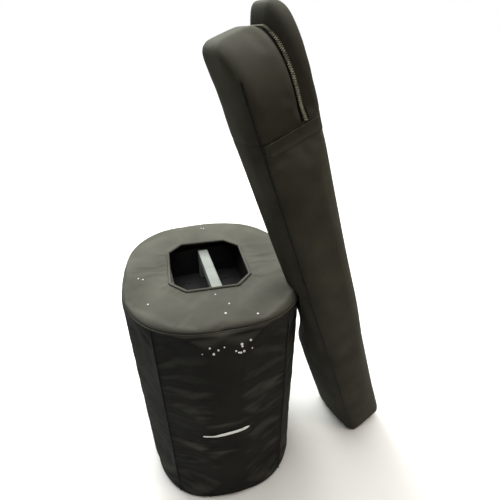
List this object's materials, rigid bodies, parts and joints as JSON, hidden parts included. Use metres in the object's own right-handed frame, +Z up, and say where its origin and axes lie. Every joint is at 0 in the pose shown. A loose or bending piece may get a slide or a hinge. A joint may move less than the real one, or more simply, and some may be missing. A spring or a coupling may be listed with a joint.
{
  "type": "column pa system",
  "caption": "Bass module under a padded slip cover with an open handle hole, with the padded zip bag of its column array leaning against the rim.",
  "frame": {"origin": "on the floor at the centre of the whole set's footprint box", "axes": "+Z up, the module's front faces -Y, the bag leans from +X towards -X"},
  "size_m": [0.6361, 0.4198, 1.0311],
  "materials": {
    "black_plastic": "moulded, fine grain",
    "black_metal": "powder coated",
    "rubber": "matt",
    "grey_plastic": "smooth",
    "steel": "turned",
    "cone_paper": "coated paper",
    "aluminium": "satin",
    "circuit_board": "lacquered",
    "hood_nylon": "padded woven nylon",
    "cover_nylon": "padded woven nylon",
    "webbing": "ribbed webbing",
    "badge_print": "printed",
    "bag_nylon": "padded woven nylon",
    "zip_teeth": "moulded coil",
    "zip_metal": "worn plating"
  },
  "bodies": {
    "module": {"cabinet_shell": "black_plastic", "base_plate": "black_plastic", "foot_left_front": "rubber", "foot_right_front": "rubber", "foot_left_rear": "rubber", "foot_right_rear": "rubber", "top_plate": "black_plastic", "handle_bar": "grey_plastic", "tray_screw_1": "steel", "tray_screw_2": "steel", "tray_screw_3": "steel", "tray_screw_4": "steel", "array_socket": "black_metal", "baffle": "black_plastic", "woofer_frame": "black_metal", "woofer_magnet": "black_metal", "woofer_surround": "rubber", "port_tube": "black_plastic", "front_grille": "black_metal", "control_panel": "black_metal", "combo_jack_1": "black_plastic", "combo_jack_2": "black_plastic", "line_out_jack": "steel", "mains_inlet": "black_plastic", "heat_sink": "aluminium", "amplifier_board": "circuit_board", "power_supply": "aluminium"},
    "woofer_cone": {"woofer_cone": "cone_paper"},
    "power_rocker": {"power_rocker": "black_plastic"},
    "knob_1": {"knob_1": "grey_plastic"},
    "knob_2": {"knob_2": "grey_plastic"},
    "knob_3": {"knob_3": "grey_plastic"},
    "button_1": {"button_1": "grey_plastic"},
    "button_2": {"button_2": "grey_plastic"},
    "cover": {"cover_hood": "hood_nylon", "hole_binding": "webbing", "cover_front": "cover_nylon", "cover_right": "cover_nylon", "cover_back": "cover_nylon", "cover_left": "cover_nylon", "front_badge": "badge_print"},
    "bag": {"bag_sleeve": "bag_nylon", "cross_band": "webbing", "array_housing": "black_plastic", "array_grille": "black_metal", "array_plug": "black_metal", "divider_pad": "webbing", "extension_housing": "black_plastic", "extension_plug": "black_metal"},
    "near_flap": {"near_flap": "bag_nylon", "zip_chain_near": "zip_teeth"},
    "far_flap": {"far_flap": "bag_nylon", "zip_chain_far": "zip_teeth"},
    "zip_slider": {"zip_slider": "zip_metal"},
    "pull_tab": {"pull_tab": "zip_metal"}
  },
  "joints": [
    {"name": "woofer_travel", "type": "slide", "parent": "module", "child": "woofer_cone", "axis": [0, -1, 0], "range_m": [-0.006, 0.006], "stiffness_N_per_m": 1500},
    {"name": "power_rocker_tip", "type": "hinge", "parent": "module", "child": "power_rocker", "pos_m": [-0.1002, 0.1604, 0.092], "axis": [1, 0, 0], "range_deg": [-8, 8]},
    {"name": "knob_1_turn", "type": "hinge", "parent": "module", "child": "knob_1", "pos_m": [-0.1872, 0.1637, 0.26], "axis": [0, 1, 0], "range_deg": [-150, 150]},
    {"name": "knob_2_turn", "type": "hinge", "parent": "module", "child": "knob_2", "pos_m": [-0.1352, 0.1637, 0.26], "axis": [0, 1, 0], "range_deg": [-150, 150]},
    {"name": "knob_3_turn", "type": "hinge", "parent": "module", "child": "knob_3", "pos_m": [-0.0832, 0.1637, 0.26], "axis": [0, 1, 0], "range_deg": [-150, 150]},
    {"name": "button_1_press", "type": "slide", "parent": "module", "child": "button_1", "axis": [0, -1, 0], "range_m": [0, 0.0012], "stiffness_N_per_m": 300},
    {"name": "button_2_press", "type": "slide", "parent": "module", "child": "button_2", "axis": [0, -1, 0], "range_m": [0, 0.0012], "stiffness_N_per_m": 300},
    {"name": "bag_tip", "type": "hinge", "parent": "module", "child": "bag", "pos_m": [0.22807, -0.09524, 0.008], "axis": [-0.213, 0.977, 0], "range_deg": [0, 20.15]},
    {"name": "cover_lift", "type": "slide", "parent": "module", "child": "cover", "axis": [0, 0, 1], "range_m": [0, 0.455]},
    {"name": "near_flap_open", "type": "hinge", "parent": "bag", "child": "near_flap", "pos_m": [-0.08791, -0.16413, 0.86612], "axis": [0.213, -0.977, 0], "range_deg": [0, 35]},
    {"name": "far_flap_open", "type": "hinge", "parent": "bag", "child": "far_flap", "pos_m": [0.00198, -0.14454, 0.89988], "axis": [-0.213, 0.977, 0], "range_deg": [0, 35]},
    {"name": "zip_run", "type": "slide", "parent": "bag", "child": "zip_slider", "axis": [0.3366, 0.0734, -0.9388], "range_m": [0, 0.075]},
    {"name": "pull_tab_swing", "type": "hinge", "parent": "zip_slider", "child": "pull_tab", "pos_m": [-0.07459, -0.11251, 0.98358], "axis": [0.9172, 0.2, 0.3445], "range_deg": [0, 150]}
  ],
  "couplings": [
    {"joint": "cover_lift", "follows": "bag_tip", "m_per_rad": 1.29},
    {"joint": "far_flap_open", "follows": "near_flap_open", "ratio": 1},
    {"joint": "zip_run", "follows": "near_flap_open", "m_per_rad": 0.12}
  ]
}
